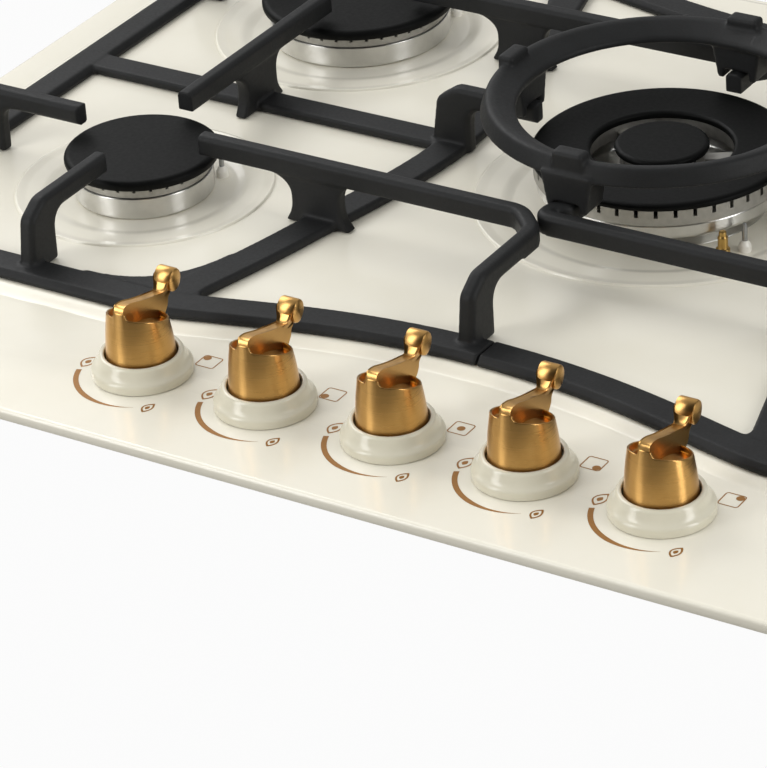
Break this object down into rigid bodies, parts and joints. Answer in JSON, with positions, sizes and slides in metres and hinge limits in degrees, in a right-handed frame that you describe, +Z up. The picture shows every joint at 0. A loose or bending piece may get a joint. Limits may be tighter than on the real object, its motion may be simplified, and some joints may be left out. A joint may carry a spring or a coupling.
{
  "type": "gas cooktop",
  "caption": "Built-in gas cooktop with an enamelled panel, cast-iron pan supports, a wok burner with ring, and lever knobs on push-turn taps.",
  "frame": {"origin": "centre of the plan, on the underside of the tray", "axes": "+X to the right along the knob row, +Y to the back, +Z up"},
  "size_m": [0.75, 0.52, 0.1135],
  "materials": {
    "panel_enamel": "glossy cream vitreous enamel on pressed steel",
    "collar_plastic": "smooth cream, satin gloss",
    "bronze": "antique bronze plating, turned, satin",
    "cast_iron": "matt black enamelled cast iron, fine grain",
    "black_enamel": "satin black enamel",
    "burner_alloy": "die-cast, machined, fine satin",
    "pipe_alloy": "drawn tube, dull",
    "brass": "machined brass forging",
    "steel": "machined steel",
    "galvanised_sheet": "galvanised steel sheet",
    "ceramic": "glazed white ceramic with a bare steel pin",
    "module_plastic": "moulded, matt",
    "foam": "closed-cell foam strip"
  },
  "bodies": {
    "base": {"top_panel": "panel_enamel", "bottom_box": "galvanised_sheet", "worktop_seal": "foam", "rear_left_electrode": "ceramic", "rear_left_burner_cup": "burner_alloy", "rear_left_burner_crown": "burner_alloy", "rear_left_burner_cap": "black_enamel", "front_left_electrode": "ceramic", "front_left_burner_cup": "burner_alloy", "front_left_burner_crown": "burner_alloy", "front_left_burner_cap": "black_enamel", "wok_electrode": "ceramic", "front_right_electrode": "ceramic", "front_right_burner_cup": "burner_alloy", "front_right_burner_crown": "burner_alloy", "front_right_burner_cap": "black_enamel", "rear_right_electrode": "ceramic", "rear_right_burner_cup": "burner_alloy", "rear_right_burner_crown": "burner_alloy", "rear_right_burner_cap": "black_enamel", "wok_burner_cup": "burner_alloy", "wok_flame_spreader": "burner_alloy", "wok_outer_cap": "black_enamel", "wok_inner_cap": "black_enamel", "knob_collar_1": "collar_plastic", "tap_body_1": "brass", "gas_pipe_1": "pipe_alloy", "knob_collar_2": "collar_plastic", "tap_body_2": "brass", "gas_pipe_2": "pipe_alloy", "knob_collar_3": "collar_plastic", "tap_body_3": "brass", "gas_pipe_3": "pipe_alloy", "knob_collar_4": "collar_plastic", "tap_body_4": "brass", "gas_pipe_4": "pipe_alloy", "knob_collar_5": "collar_plastic", "tap_body_5": "brass", "gas_pipe_5": "pipe_alloy", "gas_manifold": "pipe_alloy", "gas_inlet": "brass", "ignition_module": "module_plastic", "left_pan_support": "cast_iron", "right_pan_support": "cast_iron", "wok_ring": "cast_iron"},
    "tap_1": {"tap_plug_1": "brass"},
    "dial_1": {"knob_1": "bronze", "spindle_1": "steel"},
    "tap_2": {"tap_plug_2": "brass"},
    "dial_2": {"knob_2": "bronze", "spindle_2": "steel"},
    "tap_3": {"tap_plug_3": "brass"},
    "dial_3": {"knob_3": "bronze", "spindle_3": "steel"},
    "tap_4": {"tap_plug_4": "brass"},
    "dial_4": {"knob_4": "bronze", "spindle_4": "steel"},
    "tap_5": {"tap_plug_5": "brass"},
    "dial_5": {"knob_5": "bronze", "spindle_5": "steel"}
  },
  "joints": [
    {"name": "tap_turn_1", "type": "hinge", "parent": "base", "child": "tap_1", "pos_m": [-0.132, -0.2038, 0.0505], "axis": [0, 0, 1], "range_deg": [0, 217]},
    {"name": "knob_push_1", "type": "slide", "parent": "tap_1", "child": "dial_1", "axis": [0, 0, 1], "range_m": [-0.0035, 0], "stiffness_N_per_m": 1500, "springref_m": 0.004},
    {"name": "tap_turn_2", "type": "hinge", "parent": "base", "child": "tap_2", "pos_m": [-0.066, -0.2038, 0.0505], "axis": [0, 0, 1], "range_deg": [0, 217]},
    {"name": "knob_push_2", "type": "slide", "parent": "tap_2", "child": "dial_2", "axis": [0, 0, 1], "range_m": [-0.0035, 0], "stiffness_N_per_m": 1500, "springref_m": 0.004},
    {"name": "tap_turn_3", "type": "hinge", "parent": "base", "child": "tap_3", "pos_m": [0, -0.2038, 0.0505], "axis": [0, 0, 1], "range_deg": [0, 217]},
    {"name": "knob_push_3", "type": "slide", "parent": "tap_3", "child": "dial_3", "axis": [0, 0, 1], "range_m": [-0.0035, 0], "stiffness_N_per_m": 1500, "springref_m": 0.004},
    {"name": "tap_turn_4", "type": "hinge", "parent": "base", "child": "tap_4", "pos_m": [0.066, -0.2038, 0.0505], "axis": [0, 0, 1], "range_deg": [0, 217]},
    {"name": "knob_push_4", "type": "slide", "parent": "tap_4", "child": "dial_4", "axis": [0, 0, 1], "range_m": [-0.0035, 0], "stiffness_N_per_m": 1500, "springref_m": 0.004},
    {"name": "tap_turn_5", "type": "hinge", "parent": "base", "child": "tap_5", "pos_m": [0.132, -0.2038, 0.0505], "axis": [0, 0, 1], "range_deg": [0, 217]},
    {"name": "knob_push_5", "type": "slide", "parent": "tap_5", "child": "dial_5", "axis": [0, 0, 1], "range_m": [-0.0035, 0], "stiffness_N_per_m": 1500, "springref_m": 0.004}
  ]
}
